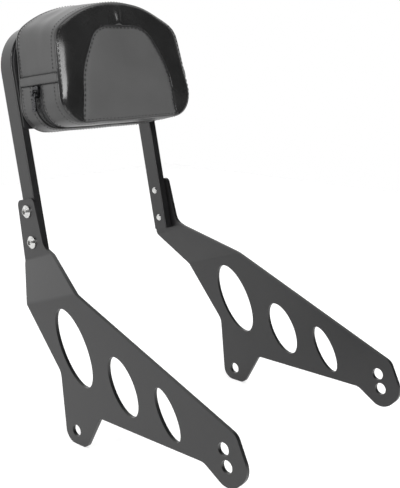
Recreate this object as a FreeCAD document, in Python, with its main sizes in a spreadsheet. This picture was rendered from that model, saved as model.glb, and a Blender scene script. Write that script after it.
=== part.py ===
"""Motorcycle passenger backrest: two jogged side plates, a flat-bar hoop and an upholstered pad.

Frame: X runs across the bike, -Y points forward and Z is up. The origin lies midway between the
two rear lug holes. The hoop and the pad lean back together, so they are modelled upright, in axes
whose origin is midway between the tab bolts, and are then turned back by the lean.
"""

import FreeCAD, Part
import math
import os

import Sketcher
from FreeCAD import Placement, Rotation, Vector

# Driving dimensions, in millimetres and degrees: name, value, meaning.
SIZES = [
    ("plate_thickness", 4, "side plate steel"),
    ("plate_outer_width", 257, "over the outer faces of the lower side plates"),
    ("bend_slope", 18, "rise of the two bend lines towards the front"),
    ("upper_bend_drop", 34.3, "upper bend line below the middle of the tab bolts, square to the bend"),
    ("bend_spacing", 47, "between the two bend lines, square to the bend"),
    ("bend_radius", 5, "inside radius of the bends"),
    ("mount_hole_dia", 13, "fixing holes of the side plates"),
    ("front_hole_reach", 209.3, "lug hole to lower front hole, forwards"),
    ("front_hole_rise", 29.3, "lug hole to lower front hole, upwards"),
    ("front_pair_shift", 4.3, "upper front hole behind the lower one"),
    ("front_pair_pitch", 15.8, "upper front hole above the lower one"),
    ("lug_rear", 15.4, "lug hole to the lug's rear corner"),
    ("lug_front", 15.9, "lug hole to the lug's front corner"),
    ("lug_drop", 15, "lug hole to the lug's bottom edge"),
    ("lug_root", 38.2, "lug hole to the root of the lug's front edge"),
    ("lug_rear_radius", 14, "lug's rear corner"),
    ("lug_front_radius", 10, "lug's front corner"),
    ("lug_root_radius", 6, "fillet at the lug's root"),
    ("lower_edge_height", 24.5, "plate's lower edge above the lug hole"),
    ("toe_behind", 28.3, "lower edge's front end behind the lower front hole"),
    ("toe_radius", 14, "fillet where the nose drops from the lower edge"),
    ("nose_bottom_ahead", 4, "nose's bottom corner ahead of the lower front hole"),
    ("nose_bottom_below", 24.8, "nose's bottom corner below the lower front hole"),
    ("nose_tip_ahead", 26.7, "nose's tip corner ahead of the lower front hole"),
    ("nose_tip_below", 1.5, "nose's tip corner below the lower front hole"),
    ("nose_radius", 18, "rounding of the nose"),
    ("nose_top_ahead", 14.5, "nose's top corner ahead of the upper front hole"),
    ("nose_top_above", 17.4, "nose's top corner above the upper front hole"),
    ("nose_top_radius", 12, "rounding of the nose's top corner"),
    ("knee_back", 23, "knee of the rear edge behind the lug hole"),
    ("knee_height", 59, "knee of the rear edge above the lug hole"),
    ("knee_radius", 16, "rounding of the knee"),
    ("oval_1_back", 0.5, "rear oval's centre behind the lug hole"),
    ("oval_1_height", 90.5, "rear oval's centre above the lug hole"),
    ("oval_1_length", 87, "rear oval"),
    ("oval_1_width", 41.5, "rear oval"),
    ("oval_2_reach", 73.5, "middle oval's centre, forwards"),
    ("oval_2_height", 68, "middle oval's centre above the lug hole"),
    ("oval_2_length", 63, "middle oval"),
    ("oval_2_width", 33.5, "middle oval"),
    ("oval_3_reach", 134.7, "front oval's centre, forwards"),
    ("oval_3_height", 56.8, "front oval's centre above the lug hole"),
    ("oval_3_length", 55, "front oval"),
    ("oval_3_width", 22.5, "front oval"),
    ("oval_slope", 58, "lean of the ovals' long axes from the horizontal"),
    ("lean", 12.2, "hoop and pad lean back from the vertical"),
    ("base_back", 100.5, "middle of the tab bolts behind the lug hole"),
    ("base_height", 200, "middle of the tab bolts above the lug hole"),
    ("tab_bolt_pitch", 34, "between the two bolts of a tab"),
    ("tab_top", 30.5, "tab's top edge above the middle of the bolts"),
    ("tab_half_width", 14.3, "tab's top corners from the bolt line"),
    ("tab_corner_radius", 6, "tab's top corners"),
    ("tab_front_root", 18.8, "root of the tab's front edge, ahead of the bolt line"),
    ("tab_front_drop", 23.8, "root of the tab's front edge below the middle of the bolts"),
    ("tab_front_radius", 15, "fillet at the root of the tab's front edge"),
    ("tab_rear_root", 18.9, "root of the tab's rear edge, behind the bolt line"),
    ("tab_rear_drop", 37.5, "root of the tab's rear edge below the middle of the bolts"),
    ("tab_rear_radius", 15, "rounding at the root of the tab's rear edge"),
    ("hoop_width", 200, "over the outer faces of the uprights"),
    ("bar_thickness", 10, "flat bar, across the bike"),
    ("bar_depth", 20, "flat bar, front to back"),
    ("bar_edge", 1, "rounding of the bar's long edges"),
    ("hoop_top", 221, "top of the hoop above the middle of the bolts"),
    ("hoop_drop", 31, "bar ends below the middle of the bolts"),
    ("hoop_radius", 52, "hoop's outer corners"),
    ("bolt_dia", 8, "tab bolt"),
    ("bolt_head_dia", 14, "tab bolt's domed head"),
    ("bolt_head_height", 4.4, "tab bolt's domed head"),
    ("bolt_hex", 5, "tab bolt's hexagon socket across flats"),
    ("bolt_hex_depth", 2.6, "tab bolt's hexagon socket"),
    ("bolt_tip_stand", 1, "bolt tip beyond the bar's inner face"),
    ("bolt_tip_chamfer", 0.9, "bolt tip"),
    ("bolt_clearance", 0.2, "hole over bolt, on the diameter"),
    ("back_plate_thickness", 3, "steel plate between hoop and pad"),
    ("back_plate_inset", 2, "back plate's edge inside the hoop's outer face"),
    ("back_plate_bottom", 105, "back plate's bottom edge above the middle of the bolts"),
    ("back_plate_corner", 4, "back plate's bottom corners"),
    ("pad_bottom", 99, "pad's bottom above the middle of the bolts"),
    ("pad_overhang", 0.3, "pad's side beyond the hoop's outer face, where the sides meet the bottom"),
    ("pad_bottom_radius", 29, "pad's bottom corners"),
    ("pad_shoulder", 198.2, "height where the sides meet the top, in front"),
    ("pad_taper", 10.89, "each side's lean inwards from the bottom to the shoulder"),
    ("pad_shoulder_radius", 20, "pad's top corners"),
    ("pad_peak", 252.9, "height where the two slopes of the top would meet, in front"),
    ("pad_rear_rise", 11.7, "rise of the pad's top from its front to its back"),
    ("pad_top_flat", 3.03, "straight run between the pad's top corners and the arch of its top"),
    ("pad_depth", 72, "back panel to the front of the rolled rim"),
    ("front_roll", 6, "rolled edge of the front panel"),
    ("back_roll", 3, "rolled edge of the back panel"),
    ("cover_thickness", 1.5, "cover's leather"),
    ("rim_width", 30.3, "rim between the insert and the pad's side at the bottom"),
    ("insert_taper", 7.5, "insert's side from the bottom to where it turns in"),
    ("insert_waist", 155, "height where the insert's sides turn in"),
    ("insert_waist_radius", 60, "bend of the insert's sides"),
    ("insert_shoulder", 27.5, "insert's side from where it turns in to its top corner"),
    ("rim_top_width", 25, "rim between the insert's top and the top of the pad's arch"),
    ("insert_top_radius", 24, "insert's top corners"),
    ("band_bottom", 147.5, "lower edge of the bands over the zipper's ends"),
    ("band_width", 10, "bands over the zipper's ends"),
    ("zip_offset", 43.5, "middle of the zipper ahead of the bolt line"),
    ("zip_width", 13.5, "zipper tape that shows between the lower gussets"),
    ("board_thickness", 6, "base board inside the pad"),
    ("pad_bolt_half_pitch", 55, "pad bolts from the middle"),
    ("pad_bolt_low", 130, "lower pad bolts above the middle of the tab bolts"),
    ("pad_bolt_high", 185, "upper pad bolts above the middle of the tab bolts"),
    ("pad_bolt_dia", 6, "pad bolt"),
    ("pad_bolt_length", 16, "pad bolt under its head"),
    ("pad_bolt_head_dia", 10.5, "pad bolt's domed head"),
    ("pad_bolt_head_height", 3.3, "pad bolt's domed head"),
    ("pad_bolt_hex", 4, "pad bolt's hexagon socket across flats"),
    ("pad_bolt_hex_depth", 2, "pad bolt's hexagon socket"),
    ("pad_bolt_tip_chamfer", 0.7, "pad bolt's tip"),
    ("washer_dia", 12.5, "pad bolt's washer"),
    ("washer_thickness", 1.6, "pad bolt's washer"),
    ("tee_flange_dia", 19, "tee nut's flange"),
    ("tee_flange_thickness", 1.4, "tee nut's flange"),
    ("tee_barrel_dia", 8, "tee nut's barrel"),
    ("tee_barrel_length", 5.5, "tee nut's barrel"),
    ("recess_clearance", 0.3, "room round the fasteners inside the pad"),
    ("slider_height", 139.5, "zipper slider above the middle of the tab bolts"),
    ("slider_length", 12, "zipper slider along the zipper"),
    ("slider_top_width", 9, "zipper slider's wide end"),
    ("slider_low_width", 6.5, "zipper slider's narrow end"),
    ("slider_thickness", 3, "zipper slider"),
    ("slider_corner", 1.5, "zipper slider's corners"),
    ("pull_stand", 5.2, "pull's hinge line off the pad's side"),
    ("bail_gap", 1.35, "inner radius of the slider's bail"),
    ("bail_thickness", 1, "slider's bail"),
    ("bail_width", 1.6, "slider's bail"),
    ("pull_thickness", 1.4, "zipper pull"),
    ("pull_eye_hole", 3.8, "hole of the pull's eye"),
    ("pull_eye_dia", 7, "outside of the pull's eye"),
    ("pull_length", 21, "hinge line to the pull's lower end"),
    ("pull_width", 6, "pull's lower end"),
    ("pull_neck", 3.4, "pull just under its eye"),
    ("pull_corner", 1.6, "pull's lower corners"),
]

doc = FreeCAD.newDocument("passenger_backrest")
sheet = doc.addObject("Spreadsheet::Sheet", "Dims")
for row, (alias, number, meaning) in enumerate(SIZES, 1):
    sheet.set(f"A{row}", meaning)
    sheet.set(f"B{row}", str(number))
    sheet.setAlias(f"B{row}", alias)
doc.recompute()


class Size:
    """A length or angle that knows its number and the formula that gives it from the sheet."""

    def __init__(self, number, formula):
        self.number = number
        self.formula = formula

    def _join(self, other, sign, number):
        return Size(number, f"({self.formula} {sign} {plain(other).formula})")

    def __add__(self, other):
        return self._join(other, "+", self.number + plain(other).number)

    def __sub__(self, other):
        return self._join(other, "-", self.number - plain(other).number)

    def __mul__(self, other):
        return self._join(other, "*", self.number * plain(other).number)

    def __truediv__(self, other):
        return self._join(other, "/", self.number / plain(other).number)

    def __neg__(self):
        return Size(-self.number, f"(0 - {self.formula})")


def plain(value):
    """A Size as it is, or a plain number as a Size."""
    return value if isinstance(value, Size) else Size(float(value), repr(float(value)))


RIGHT_ANGLE = Size(90.0, "90 deg")
SAME_PLACE = 1e-6


def dim(alias):
    """The sheet's value of that name."""
    return Size(float(sheet.get(alias)), f"{sheet.Name}.{alias}")


def sine(angle):
    return Size(math.sin(math.radians(angle.number)), f"sin({angle.formula})")


def cosine(angle):
    return Size(math.cos(math.radians(angle.number)), f"cos({angle.formula})")


def tangent(angle):
    return Size(math.tan(math.radians(angle.number)), f"tan({angle.formula})")


def arc_tangent(ratio):
    return Size(math.degrees(math.atan(ratio.number)), f"atan({ratio.formula})")


def root(value):
    return Size(math.sqrt(value.number), f"sqrt({value.formula})")


def bind(obj, prop, size):
    """Sets a property now and ties it to the sheet."""
    obj.setExpression(prop, plain(size).formula)


def leaned(ahead, above):
    """Row coordinates (Y, Z) of a point given in the hoop's leaning axes."""
    lean = dim("lean")
    y = dim("base_back") + sine(lean) * above - cosine(lean) * ahead
    z = dim("base_height") + cosine(lean) * above + sine(lean) * ahead
    return y, z


def lean_back(obj):
    """Turns a piece that was modelled upright back by the lean, on its place behind the lugs."""
    obj.Placement = Placement(Vector(0, 0, 0), Rotation(Vector(-1, 0, 0), dim("lean").number))
    bind(obj, "Placement.Rotation.Angle", dim("lean"))
    bind(obj, "Placement.Base.y", dim("base_back"))
    bind(obj, "Placement.Base.z", dim("base_height"))
    return obj


# Sketching

def plane_of(body, role):
    return next(f for f in body.Origin.OriginFeatures if f.Role == role)


def new_sketch(body, name, role="XZ_Plane", offset=0, turn=0):
    """A sketch on one of the body's planes, moved along its normal and turned about its own X axis."""
    sketch = body.newObject("Sketcher::SketchObject", name)
    sketch.AttachmentSupport = [(plane_of(body, role), "")]
    sketch.MapMode = "FlatFace"
    offset, turn = plain(offset), plain(turn)
    axis = Vector(-1, 0, 0) if turn.number < 0 else Vector(1, 0, 0)
    sketch.AttachmentOffset = Placement(Vector(0, 0, offset.number), Rotation(axis, abs(turn.number)))
    bind(sketch, "AttachmentOffset.Base.z", offset)
    if turn.number:
        bind(sketch, "AttachmentOffset.Rotation.Angle", -turn if turn.number < 0 else turn)
    return sketch


class Outline:
    """Collects a sketch's lines, arcs and constraints, then ties each constraint to the sheet."""

    def __init__(self, sketch):
        self.sketch = sketch
        self.constraints = []
        self.formulas = []

    def rule(self, *words, size=None):
        if size is not None:
            self.formulas.append((len(self.constraints), plain(size).formula))
            words = (*words, plain(size).number)
        self.constraints.append(Sketcher.Constraint(*words))

    def place(self, item, point, x, y):
        self.rule("DistanceX", -1, 1, item, point, size=x)
        self.rule("DistanceY", -1, 1, item, point, size=y)

    def finish(self):
        first = self.sketch.ConstraintCount
        self.sketch.addConstraint(self.constraints)
        for index, formula in self.formulas:
            self.sketch.setExpression(f"Constraints[{first + index}]", formula)
        return self.sketch


def tangent_length(before, corner, after, radius):
    """Distance from a corner to the ends of its rounding."""
    to_before = (before - corner).normalize()
    to_after = (after - corner).normalize()
    return radius / math.tan(to_before.getAngle(to_after) / 2)


def rounding(before, corner, after, radius):
    """The arc that rounds a corner, and whether it runs counter-clockwise along the outline."""
    reach = tangent_length(before, corner, after, radius)
    start = corner + (before - corner).normalize() * reach
    end = corner + (after - corner).normalize() * reach
    middle = ((before - corner).normalize() + (after - corner).normalize()).normalize()
    centre = corner + middle * math.hypot(reach, radius)
    left_turn = (corner - before).cross(after - corner).z > 0
    first, last = (start, end) if left_turn else (end, start)
    angles = [math.atan2(p.y - centre.y, p.x - centre.x) for p in (first, last)]
    circle = Part.Circle(centre, Vector(0, 0, 1), radius)
    return Part.ArcOfCircle(circle, *angles), start, end, left_turn


def draw_outline(sketch, corners):
    """A closed outline of straight edges through corners (x, y, radius), rounded where radius isn't 0."""
    corners = [(plain(x), plain(y), plain(r)) for x, y, r in corners]
    points = [Vector(x.number, y.number, 0) for x, y, _ in corners]
    count = len(points)
    rounds = [
        rounding(points[i - 1], points[i], points[(i + 1) % count], r.number) if r.number else None
        for i, (_, _, r) in enumerate(corners)
    ]
    leave = [r[2] if r else p for r, p in zip(rounds, points)]
    arrive = [r[1] if r else p for r, p in zip(rounds, points)]
    lines = [
        sketch.addGeometry(Part.LineSegment(leave[i], arrive[(i + 1) % count]), False)
        for i in range(count)
    ]
    outline = Outline(sketch)
    for i, (x, y, radius) in enumerate(corners):
        before, after = lines[i - 1], lines[i]
        if rounds[i] is None:
            outline.rule("Coincident", before, 2, after, 1)
            outline.place(after, 1, x, y)
            continue
        arc, _, _, left_turn = rounds[i]
        bend = sketch.addGeometry(arc, False)
        corner = sketch.addGeometry(Part.Point(points[i]), True)
        outline.rule("Tangent", before, 2, bend, 1 if left_turn else 2)
        outline.rule("Tangent", bend, 2 if left_turn else 1, after, 1)
        outline.rule("Radius", bend, size=radius)
        outline.rule("PointOnObject", corner, 1, before)
        outline.rule("PointOnObject", corner, 1, after)
        outline.place(corner, 1, x, y)
    return outline.finish()



def new_body(name):
    return doc.addObject("PartDesign::Body", name)


def pad(body, sketch, length, midplane=False, name="Pad"):
    """Extrudes a sketch along its normal, or to both sides of it."""
    feature = body.newObject("PartDesign::Pad", name)
    feature.Profile = sketch
    feature.Length = plain(length).number
    bind(feature, "Length", length)
    feature.Midplane = midplane
    return feature


def round_edges(body, name, radius, wanted):
    """Rounds the edges of the body's last feature whose bounding boxes are wanted."""
    doc.recompute()
    base = body.Tip
    edges = [f"Edge{i}" for i, edge in enumerate(base.Shape.Edges, 1) if wanted(edge.BoundBox)]
    feature = body.newObject("PartDesign::Fillet", name)
    feature.Base = (base, edges)
    bind(feature, "Radius", radius)
    return feature


def outline_body(name, corners, length, role="XZ_Plane", offset=0, midplane=False, turn=0):
    """A body made by extruding one rounded outline."""
    body = new_body(name)
    sketch = new_sketch(body, f"{name}_outline", role, offset, turn)
    draw_outline(sketch, corners)
    pad(body, sketch, length, midplane, f"{name}_pad")
    return body


def block(name, low, high):
    """A box between two corners (x, y, z), in the axes of the pieces that it cuts."""
    box = doc.addObject("Part::Box", name)
    for axis, prop, a, b in zip("xyz", ("Length", "Width", "Height"), low, high):
        bind(box, prop, plain(b) - plain(a))
        bind(box, f"Placement.Base.{axis}", a)
    return box


def rod(name, diameter, length, centre, along):
    """A cylinder along X or Y from its first end's centre."""
    cylinder = doc.addObject("Part::Cylinder", name)
    turn = {"x": Rotation(Vector(0, 1, 0), 90), "y": Rotation(Vector(1, 0, 0), 90)}[along]
    cylinder.Placement = Placement(Vector(0, 0, 0), turn)
    bind(cylinder, "Radius", diameter / 2)
    bind(cylinder, "Height", length)
    for axis, value in zip("xyz", centre):
        bind(cylinder, f"Placement.Base.{axis}", value)
    return cylinder


def common(name, base, tool):
    feature = doc.addObject("Part::Common", name)
    feature.Base, feature.Tool = base, tool
    return feature


def cut(name, base, tool):
    feature = doc.addObject("Part::Cut", name)
    feature.Base, feature.Tool = base, tool
    return feature


def group(name, members):
    feature = doc.addObject("Part::Compound", name)
    feature.Links = members
    return feature


def fuse(name, members):
    feature = doc.addObject("Part::MultiFuse", name)
    feature.Shapes = members
    return feature


# Side plates: sheet steel with two bends, cut to a lug, a nose and a bolting tab

def jogged_sheet():
    """The bent sheet before its outline is cut, seen along the bend lines."""
    wall = dim("plate_thickness")
    outer = dim("plate_outer_width") / 2
    tab_outer = dim("hoop_width") / 2 + wall
    bend_slope = dim("bend_slope")
    tab = dim("base_back") * sine(bend_slope) + dim("base_height") * cosine(bend_slope)
    high = tab - dim("upper_bend_drop")
    low = high - dim("bend_spacing")
    slant = arc_tangent((outer - tab_outer) / (high - low))
    mitre = wall * tangent(slant / 2)
    inside = dim("bend_radius")
    outside = inside + wall
    reach = (dim("front_hole_reach") + dim("nose_tip_ahead")) * 2
    corners = [
        (-outer, -reach, 0),
        (-outer + wall, -reach, 0),
        (-outer + wall, low - mitre, inside),
        (-tab_outer + wall, high - mitre, outside),
        (-tab_outer + wall, reach, 0),
        (-tab_outer, reach, 0),
        (-tab_outer, high, inside),
        (-outer, low, outside),
    ]
    return outline_body("jogged_sheet", corners, reach * 2, midplane=True, turn=-dim("bend_slope"))


def plate_outline():
    """The plate's outline in the side view, as a prism across the bike."""
    tab_rear = leaned(-dim("tab_half_width"), dim("tab_top"))
    tab_front = leaned(dim("tab_half_width"), dim("tab_top"))
    front_root = leaned(dim("tab_front_root"), -dim("tab_front_drop"))
    rear_root = leaned(-dim("tab_rear_root"), -dim("tab_rear_drop"))
    edge = dim("lower_edge_height")
    hole_y, hole_z = -dim("front_hole_reach"), dim("front_hole_rise")
    upper_y, upper_z = hole_y + dim("front_pair_shift"), hole_z + dim("front_pair_pitch")
    nose_radius = dim("nose_radius")
    corners = [
        (*tab_rear, dim("tab_corner_radius")),
        (*tab_front, dim("tab_corner_radius")),
        (*front_root, dim("tab_front_radius")),
        (upper_y - dim("nose_top_ahead"), upper_z + dim("nose_top_above"), dim("nose_top_radius")),
        (hole_y - dim("nose_tip_ahead"), hole_z - dim("nose_tip_below"), nose_radius),
        (hole_y - dim("nose_bottom_ahead"), hole_z - dim("nose_bottom_below"), nose_radius),
        (hole_y + dim("toe_behind"), edge, dim("toe_radius")),
        (-dim("lug_root"), edge, dim("lug_root_radius")),
        (-dim("lug_front"), -dim("lug_drop"), dim("lug_front_radius")),
        (dim("lug_rear"), -dim("lug_drop"), dim("lug_rear_radius")),
        (dim("knee_back"), dim("knee_height"), dim("knee_radius")),
        (*rear_root, dim("tab_rear_radius")),
    ]
    across = dim("plate_outer_width") * 2
    return outline_body("plate_outline", corners, across, role="YZ_Plane", midplane=True)


def plate_round_holes():
    """Cutters for the three fixing holes and the two bolt holes of each plate, right across the bike."""
    across = dim("plate_outer_width") * 2
    start = -across / 2
    reach, rise = dim("front_hole_reach"), dim("front_hole_rise")
    mount = dim("mount_hole_dia")
    half_pitch = dim("tab_bolt_pitch") / 2
    bolt_hole = dim("bolt_dia") + dim("bolt_clearance")
    places = [
        (plain(0), plain(0), mount),
        (-reach, rise, mount),
        (dim("front_pair_shift") - reach, rise + dim("front_pair_pitch"), mount),
        (*leaned(plain(0), half_pitch), bolt_hole),
        (*leaned(plain(0), -half_pitch), bolt_hole),
    ]
    return [rod(f"plate_hole_{i}", d, across, (start, y, z), "x") for i, (y, z, d) in enumerate(places)]


def plate_ovals():
    """Cutters for the three slanted ovals."""
    across = dim("plate_outer_width") * 2
    cutters = []
    for i, y in ((1, dim("oval_1_back")), (2, -dim("oval_2_reach")), (3, -dim("oval_3_reach"))):
        ellipse = doc.addObject("Part::Ellipse", f"oval_{i}")
        # the ellipse's own plane is turned to face across the bike, then leant in that plane
        upright = Rotation(Vector(0, 1, 0), Vector(0, 0, 1), Vector(1, 0, 0), "XYZ")
        lean = Rotation(Vector(0, 0, 1), dim("oval_slope").number)
        ellipse.Placement = Placement(Vector(0, y.number, 0), upright * lean)
        bind(ellipse, "MajorRadius", dim(f"oval_{i}_length") / 2)
        bind(ellipse, "MinorRadius", dim(f"oval_{i}_width") / 2)
        bind(ellipse, "Placement.Base.y", y)
        bind(ellipse, "Placement.Base.z", dim(f"oval_{i}_height"))
        cutter = doc.addObject("Part::Extrusion", f"oval_{i}_cutter")
        cutter.Base = ellipse
        cutter.DirMode = "Custom"
        cutter.Dir = Vector(1, 0, 0)
        cutter.Symmetric = True
        cutter.Solid = True
        bind(cutter, "LengthFwd", across)
        cutters.append(cutter)
    return cutters


def side_plates():
    blank = common("plate_blank", jogged_sheet(), plate_outline())
    holes = group("plate_holes", plate_round_holes() + plate_ovals())
    right = cut("side_plate_right", blank, holes)
    left = doc.addObject("Part::Mirroring", "side_plate_left")
    left.Source = right
    left.Normal = Vector(1, 0, 0)
    return [right, left]


# Hoop: one flat bar bent into an inverted U, tapped for the tab bolts

def hoop_corners(half, top, bottom, radius):
    return [(half, bottom, 0), (half, top, radius), (-half, top, radius), (-half, bottom, 0)]


def upright_hoop():
    half, top = dim("hoop_width") / 2, dim("hoop_top")
    wall, depth = dim("bar_thickness"), dim("bar_depth")
    bottom = -dim("hoop_drop")
    outer = hoop_corners(half, top, bottom, dim("hoop_radius"))
    inner = hoop_corners(half - wall, top - wall, bottom, dim("hoop_radius") - wall)
    body = outline_body("hoop_bar", outer + inner[::-1], depth, midplane=True)
    above_ends = bottom.number + dim("bar_edge").number
    round_edges(body, "hoop_edges", dim("bar_edge"),
                lambda box: box.YLength < SAME_PLACE and box.ZMax > above_ends)
    half_pitch = dim("tab_bolt_pitch") / 2
    across = dim("hoop_width") * 2
    hole = dim("bolt_dia") + dim("bolt_clearance")
    holes = [
        rod(f"hoop_hole_{i}", hole, across, (-across / 2, plain(0), z), "x")
        for i, z in enumerate((half_pitch, -half_pitch))
    ]
    return lean_back(cut("upright_hoop", body, group("hoop_holes", holes)))


# Fasteners: domed socket-head bolts, washers and tee nuts

def domed_bolt(name, dia, head_dia, head_height, hexagon, hex_depth, length, tip):
    """A bolt along +Z with the underside of its head at the origin and its dome below."""
    body = new_body(name)
    sketch = new_sketch(body, f"{name}_profile")
    shank, head = dia / 2, head_dia / 2
    crown = hexagon / root(plain(3)) + tip / 2
    rim = head_height / 3
    corners = [
        (0, -head_height, 0),
        (crown, -head_height, 0),
        (head, -rim, 0),
        (head, 0, 0),
        (shank, 0, 0),
        (shank, length - tip, 0),
        (shank - tip, length, 0),
        (0, length, 0),
    ]
    draw_outline(sketch, corners)
    turned = body.newObject("PartDesign::Revolution", f"{name}_turned")
    turned.Profile = sketch
    turned.ReferenceAxis = (sketch, ["V_Axis"])
    doc.recompute()
    socket = new_sketch(body, f"{name}_socket", "XY_Plane", -head_height)
    corner = hexagon / root(plain(3))
    turns = [math.radians(60 * i) for i in range(6)]
    spots = [(corner * math.cos(turn), corner * math.sin(turn), 0) for turn in turns]
    draw_outline(socket, spots)
    pocket = body.newObject("PartDesign::Pocket", f"{name}_hexagon")
    pocket.Profile = socket
    pocket.Reversed = True
    bind(pocket, "Length", hex_depth)
    return body


def upright_bolts():
    """Two bolts through each tab, threaded through the bar."""
    under_head = dim("hoop_width") / 2 + dim("plate_thickness")
    length = dim("plate_thickness") + dim("bar_thickness") + dim("bolt_tip_stand")
    half_pitch = dim("tab_bolt_pitch") / 2
    bolts = []
    for side in (-1, 1):
        for above in (half_pitch, -half_pitch):
            bolt = domed_bolt(
                f"tab_bolt_{len(bolts)}", dim("bolt_dia"), dim("bolt_head_dia"), dim("bolt_head_height"),
                dim("bolt_hex"), dim("bolt_hex_depth"), length, dim("bolt_tip_chamfer"),
            )
            bolt.Placement = Placement(Vector(0, 0, 0), Rotation(Vector(0, -side, 0), 90))
            bind(bolt, "Placement.Base.x", under_head * side)
            bind(bolt, "Placement.Base.z", above)
            bolts.append(bolt)
    return lean_back(group("upright_bolts", bolts))


def pad_bolt_places():
    half = dim("pad_bolt_half_pitch")
    return [(half * side, dim(level)) for side in (-1, 1) for level in ("pad_bolt_low", "pad_bolt_high")]


def pad_drills(name, diameter, start, length):
    """Four rods on the pad bolts' axes, from a distance ahead of the bolt line forwards."""
    return group(name, [
        rod(f"{name}_{i}", diameter, length, (x, -start, z), "y")
        for i, (x, z) in enumerate(pad_bolt_places())
    ])


def plate_rear():
    return dim("bar_depth") / 2


def pad_rear():
    return plate_rear() + dim("back_plate_thickness")


def board_front():
    return pad_rear() + dim("cover_thickness") + dim("board_thickness")


def pad_bolts():
    seat = plate_rear() - dim("washer_thickness")
    bolts = []
    for x, z in pad_bolt_places():
        bolt = domed_bolt(
            f"pad_bolt_{len(bolts)}", dim("pad_bolt_dia"),
            dim("pad_bolt_head_dia"), dim("pad_bolt_head_height"),
            dim("pad_bolt_hex"), dim("pad_bolt_hex_depth"),
            dim("pad_bolt_length"), dim("pad_bolt_tip_chamfer"),
        )
        bolt.Placement = Placement(Vector(0, 0, 0), Rotation(Vector(1, 0, 0), 90))
        bind(bolt, "Placement.Base.x", x)
        bind(bolt, "Placement.Base.y", -seat)
        bind(bolt, "Placement.Base.z", z)
        bolts.append(bolt)
    return lean_back(group("pad_bolts", bolts))


def ring_nodes(name, hole, pieces):
    """Round pieces (diameter, start, length) on the pad bolts' axes, with the bolt's hole through them."""
    solids = []
    for i, (diameter, start, length) in enumerate(pieces):
        solids.append(pad_drills(f"{name}_blank_{i}", diameter, start, length))
    blank = fuse(f"{name}_blank", solids) if len(solids) > 1 else solids[0]
    first = pieces[0][1] - dim("pad_depth")
    through = pad_drills(f"{name}_bore", hole, first, dim("pad_depth") * 2)
    return lean_back(cut(name, blank, through))


def pad_washers():
    seat = plate_rear() - dim("washer_thickness")
    hole = dim("pad_bolt_dia") + dim("bolt_clearance")
    return ring_nodes("pad_washers", hole, [(dim("washer_dia"), seat, dim("washer_thickness"))])


def pad_tee_nuts():
    hole = dim("pad_bolt_dia") + dim("bolt_clearance")
    barrel = dim("tee_barrel_length")
    return ring_nodes("pad_tee_nuts", hole, [
        (dim("tee_barrel_dia"), board_front() - barrel, barrel),
        (dim("tee_flange_dia"), board_front(), dim("tee_flange_thickness")),
    ])


def pad_back_plate():
    """Steel plate welded to the hoop's front face, drilled for the pad bolts."""
    inset = dim("back_plate_inset")
    half, top = dim("hoop_width") / 2 - inset, dim("hoop_top") - inset
    corners = hoop_corners(half, top, dim("back_plate_bottom"), dim("hoop_radius") - inset)
    corners = [(x, y, r if plain(r).number else dim("back_plate_corner")) for x, y, r in corners]
    blank = outline_body("back_plate_blank", corners, dim("back_plate_thickness"), offset=plate_rear())
    hole = dim("pad_bolt_dia") + dim("recess_clearance") * 2
    drills = pad_drills("back_plate_drills", hole, plain(0), dim("pad_depth"))
    return lean_back(cut("pad_back_plate", blank, drills))


# Pad: a leather cover round foam on a base board

def pad_half():
    """Half width of the pad where its sides meet the bottom."""
    return dim("hoop_width") / 2 + dim("pad_overhang")


def shoulder_half(lift=0):
    """Half width of the pad where its sides meet the top, which may be lifted."""
    slope = dim("pad_taper") / (dim("pad_shoulder") - dim("pad_bottom"))
    return pad_half() - dim("pad_taper") - slope * plain(lift)


def pad_top_slope(lift=0):
    """Slope of the straight runs beside the arch of the pad's top."""
    return arc_tangent((dim("pad_peak") - dim("pad_shoulder")) / shoulder_half(lift))


def pad_top_arch(lift=0):
    """Radius of the arch that leaves the straight runs beside the pad's top corners."""
    run, rise = shoulder_half(lift), dim("pad_peak") - dim("pad_shoulder")
    slope = pad_top_slope(lift)
    side_lean = arc_tangent(dim("pad_taper") / (dim("pad_shoulder") - dim("pad_bottom")))
    corner = dim("pad_shoulder_radius") * tangent((RIGHT_ANGLE - side_lean - slope) / 2)
    return (root(run * run + rise * rise) - corner - dim("pad_top_flat")) / tangent(slope)


def pad_apex():
    """Height of the front arch's highest point."""
    return dim("pad_peak") + pad_top_arch() - pad_top_arch() / cosine(pad_top_slope())


def pad_outline(body, name, offset, lift=0):
    """The pad's arched outline at a depth, with its top lifted."""
    low, high = dim("pad_bottom"), dim("pad_shoulder") + plain(lift)
    wide, narrow = pad_half(), shoulder_half(lift)
    sketch = new_sketch(body, name, offset=offset)
    draw_outline(sketch, [
        (-wide, low, dim("pad_bottom_radius")),
        (wide, low, dim("pad_bottom_radius")),
        (narrow, high, dim("pad_shoulder_radius")),
        (0, dim("pad_peak") + plain(lift), pad_top_arch(lift)),
        (-narrow, high, dim("pad_shoulder_radius")),
    ])
    return sketch


def pad_form():
    """The whole upholstered form: an arched outline, taller at the back, with rolled edges."""
    body = new_body("pad_form")
    depth = dim("pad_depth")
    rear_outline = pad_outline(body, "pad_rear_outline", pad_rear(), dim("pad_rear_rise"))
    front_outline = pad_outline(body, "pad_front_outline", pad_rear() + depth)
    loft = body.newObject("PartDesign::AdditiveLoft", "pad_loft")
    loft.Profile = rear_outline
    loft.Sections = [(front_outline, [""])]
    loft.Ruled = True
    front, rear = -(pad_rear() + depth).number, -pad_rear().number
    round_edges(body, "pad_front_roll", dim("front_roll"), lambda box: abs(box.YMax - front) < SAME_PLACE)
    round_edges(body, "pad_back_roll", dim("back_roll"), lambda box: abs(box.YMin - rear) < SAME_PLACE)
    return body


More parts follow.
